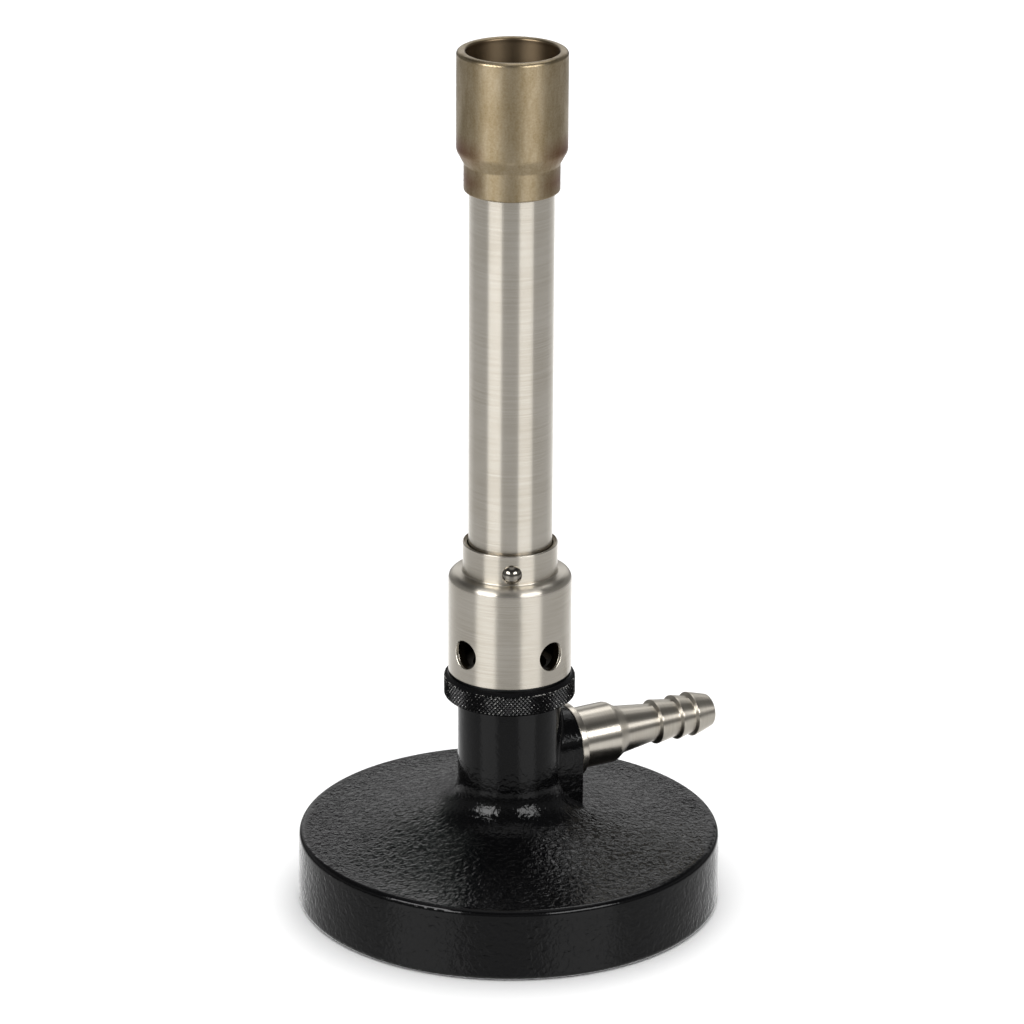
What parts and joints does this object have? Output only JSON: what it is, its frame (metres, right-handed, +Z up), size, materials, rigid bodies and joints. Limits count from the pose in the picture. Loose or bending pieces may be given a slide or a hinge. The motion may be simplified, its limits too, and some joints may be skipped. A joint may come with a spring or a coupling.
{
  "type": "bunsen burner",
  "caption": "Laboratory gas burner: weighted dished foot with side hose barb, turning air collar with ports and screwed lock ring, slim upright tube and flame stabilizing head",
  "frame": {"origin": "on the burner's upright axis, in the plane that the foot stands on", "axes": "+Z up along the burner tube, +X along the hose nozzle away from the column, +Y completes a right-handed frame"},
  "size_m": [0.0863, 0.082, 0.1697],
  "materials": {
    "black_enamel": "wrinkled semi-gloss black enamel on a casting",
    "brushed_nickel": "fine turned brushing, bright nickel",
    "turned_brass": "turned",
    "sooted_brass": "turned and darkened by use",
    "blackened_knurl": "black, diamond knurl on the rim",
    "blackened_steel": "black oxide",
    "polished_steel": "mirror polish",
    "heat_tinted_steel": "brushed, straw and bronze heat tint",
    "fibre_seal": "pressed fibre"
  },
  "bodies": {
    "burner": {"base_casting": "black_enamel", "hose_nozzle": "brushed_nickel", "nozzle_seal": "fibre_seal", "jet_carrier": "turned_brass", "carrier_seal": "fibre_seal", "gas_jet": "turned_brass", "jet_seal": "fibre_seal", "mixer_body": "sooted_brass", "burner_tube": "brushed_nickel", "stabilizer_head": "heat_tinted_steel"},
    "collar": {"air_collar": "brushed_nickel", "guide_pin": "polished_steel"},
    "washer": {"lock_washer": "blackened_steel"},
    "ring": {"lock_ring": "blackened_knurl"}
  },
  "joints": [
    {"name": "collar_turn", "type": "hinge", "parent": "burner", "child": "collar", "pos_m": [0, 0, 0.0602], "axis": [0, 0, 1], "range_deg": [0, 45]},
    {"name": "lock_ring_travel", "type": "slide", "parent": "burner", "child": "washer", "axis": [0, 0, 1], "range_m": [-0.00052, 0.0001]},
    {"name": "lock_ring_turn", "type": "hinge", "parent": "washer", "child": "ring", "pos_m": [0, 0, 0.0444], "axis": [0, 0, 1], "range_deg": [-190, 37]}
  ],
  "couplings": [
    {"joint": "lock_ring_turn", "follows": "lock_ring_travel", "rad_per_m": 6283.2}
  ]
}
